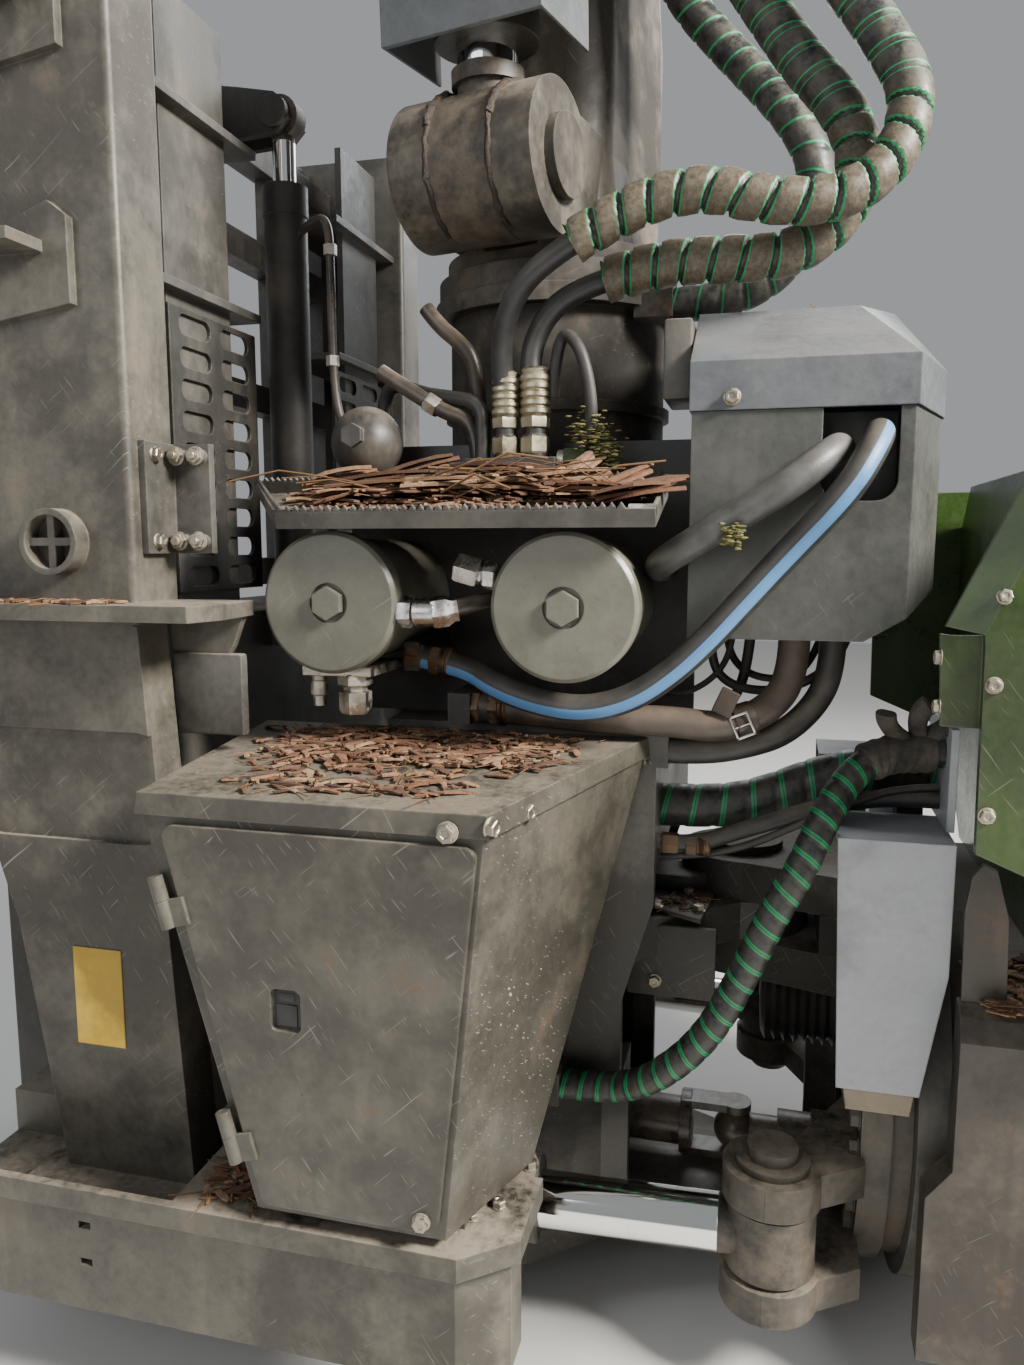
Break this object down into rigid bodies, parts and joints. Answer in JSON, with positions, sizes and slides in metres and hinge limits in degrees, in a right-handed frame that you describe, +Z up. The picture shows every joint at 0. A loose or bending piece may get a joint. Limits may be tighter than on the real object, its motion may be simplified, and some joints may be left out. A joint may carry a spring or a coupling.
{
  "type": "forestry forwarder centre section",
  "caption": "Articulated centre section of a forestry forwarder: load gate front, crane foot and king post, cabinets, filters, hoses and steering joint.",
  "frame": {"origin": "middle of the rear frame's end plate", "axes": "+X to the front of the machine, +Y to its left side, +Z up"},
  "size_m": [1.7, 1.326, 2.4565],
  "materials": {
    "grey_paint": "worn satin",
    "filter_paint": "satin",
    "green_paint": "satin",
    "chrome": "polished",
    "steel": "dull",
    "brown_plastic": "matte",
    "hose_rubber": "matte"
  },
  "bodies": {
    "rear_frame": {"rear_frame": "grey_paint", "frame_head": "grey_paint", "carrier_right": "grey_paint", "carrier_left": "grey_paint", "gate_post_right": "grey_paint", "gate_post_left": "grey_paint", "gate_frame": "grey_paint", "gate_screens": "grey_paint", "wear_pads": "grey_paint", "gate_barrel": "grey_paint", "crane_foot": "grey_paint", "valve_cabinet": "grey_paint", "valve_lid": "grey_paint", "filter_rear": "filter_paint", "filter_front": "filter_paint", "filter_stand": "grey_paint", "filter_tray": "grey_paint", "accumulator": "grey_paint", "steel_pipes": "steel", "cabinet_right": "grey_paint", "cabinet_left": "grey_paint", "driveshaft_rear": "grey_paint", "hose_boom_upper": "hose_rubber", "hose_boom_lower": "hose_rubber", "hose_boom_rear": "hose_rubber", "hose_base_left": "hose_rubber", "hose_base_right": "hose_rubber", "hose_blue_stripe": "hose_rubber", "hose_grey": "hose_rubber", "hose_brown_sleeve": "hose_rubber", "hose_black": "hose_rubber", "hose_near_spiral": "hose_rubber", "hose_far_spiral": "hose_rubber", "hose_thin_pair": "hose_rubber"},
    "cabinet_door_right": {"door_right": "grey_paint"},
    "cabinet_door_left": {"door_left": "grey_paint"},
    "gate": {"gate_slide": "grey_paint", "gate_rod": "chrome"},
    "joint_link": {"link_casting": "grey_paint", "link_pins": "grey_paint", "link_shrouds": "grey_paint", "link_pads": "brown_plastic", "bearing_ring": "grey_paint", "driveshaft_front": "grey_paint"},
    "front_frame": {"bearing_housing": "grey_paint", "front_frame_stub": "grey_paint", "cover_right": "green_paint", "cover_left": "green_paint", "engine_hood": "green_paint"},
    "king_post": {"king_post_casting": "grey_paint", "slew_ring": "grey_paint", "lift_pin": "grey_paint", "hose_bracket": "grey_paint"},
    "lift_cylinder_rod": {"lift_rod": "chrome"},
    "lift_cylinder_barrel": {"lift_barrel": "grey_paint", "lift_guard": "grey_paint"},
    "steer_barrel_r": {"steer_barrel_right": "grey_paint"},
    "steer_barrel_l": {"steer_barrel_left": "grey_paint"},
    "steer_rod_r": {"steer_rod_right": "chrome"},
    "steer_rod_l": {"steer_rod_left": "chrome"}
  },
  "joints": [
    {"name": "door_right_hinge", "type": "hinge", "parent": "rear_frame", "child": "cabinet_door_right", "pos_m": [0.528, -0.654, 0.4], "axis": [0.2598, 0, -0.9657], "range_deg": [0, 110]},
    {"name": "door_left_hinge", "type": "hinge", "parent": "rear_frame", "child": "cabinet_door_left", "pos_m": [0.528, 0.654, 0.4], "axis": [-0.2598, 0, 0.9657], "range_deg": [0, 110]},
    {"name": "gate_lift", "type": "slide", "parent": "rear_frame", "child": "gate", "axis": [0, 0, 1], "range_m": [0, 0.35]},
    {"name": "frame_steer", "type": "hinge", "parent": "rear_frame", "child": "joint_link", "pos_m": [1.2, 0, 0], "axis": [0, 0, 1], "range_deg": [-40, 40], "deforming": ["hose_near_spiral", "hose_far_spiral", "hose_thin_pair"]},
    {"name": "frame_roll", "type": "hinge", "parent": "joint_link", "child": "front_frame", "pos_m": [1.45, 0, -0.05], "axis": [1, 0, 0], "range_deg": [-15, 15]},
    {"name": "crane_slew", "type": "hinge", "parent": "rear_frame", "child": "king_post", "pos_m": [0.88, 0, 1.1], "axis": [0, 0, 1], "range_deg": [-190, 190], "deforming": ["hose_boom_upper", "hose_boom_lower", "hose_boom_rear"]},
    {"name": "lift_pin_swing", "type": "hinge", "parent": "king_post", "child": "lift_cylinder_rod", "pos_m": [0.83022, -0.22455, 1.272], "axis": [0.9763, -0.2164, 0], "range_deg": [-10, 2]},
    {"name": "lift_stroke", "type": "slide", "parent": "lift_cylinder_rod", "child": "lift_cylinder_barrel", "axis": [-0.0113, -0.0511, 0.9986], "range_m": [0, 0.42]},
    {"name": "steer_right_swing", "type": "hinge", "parent": "rear_frame", "child": "steer_barrel_r", "pos_m": [0.35, -0.395, -0.17], "axis": [0, 0, 1], "range_deg": [-1, 6]},
    {"name": "steer_right_stroke", "type": "slide", "parent": "steer_barrel_r", "child": "steer_rod_r", "axis": [0.9988, 0.0496, 0], "range_m": [-0.242, 0.242]},
    {"name": "steer_left_swing", "type": "hinge", "parent": "rear_frame", "child": "steer_barrel_l", "pos_m": [0.35, 0.395, -0.17], "axis": [0, 0, 1], "range_deg": [-6, 1]},
    {"name": "steer_left_stroke", "type": "slide", "parent": "steer_barrel_l", "child": "steer_rod_l", "axis": [0.9988, -0.0496, 0], "range_m": [-0.242, 0.242]}
  ],
  "couplings": [
    {"joint": "steer_right_swing", "follows": "frame_steer", "ratio": 0.0214},
    {"joint": "steer_right_stroke", "follows": "frame_steer", "m_per_rad": 0.3366},
    {"joint": "steer_left_swing", "follows": "frame_steer", "ratio": 0.0214},
    {"joint": "steer_left_stroke", "follows": "frame_steer", "m_per_rad": -0.3366}
  ]
}
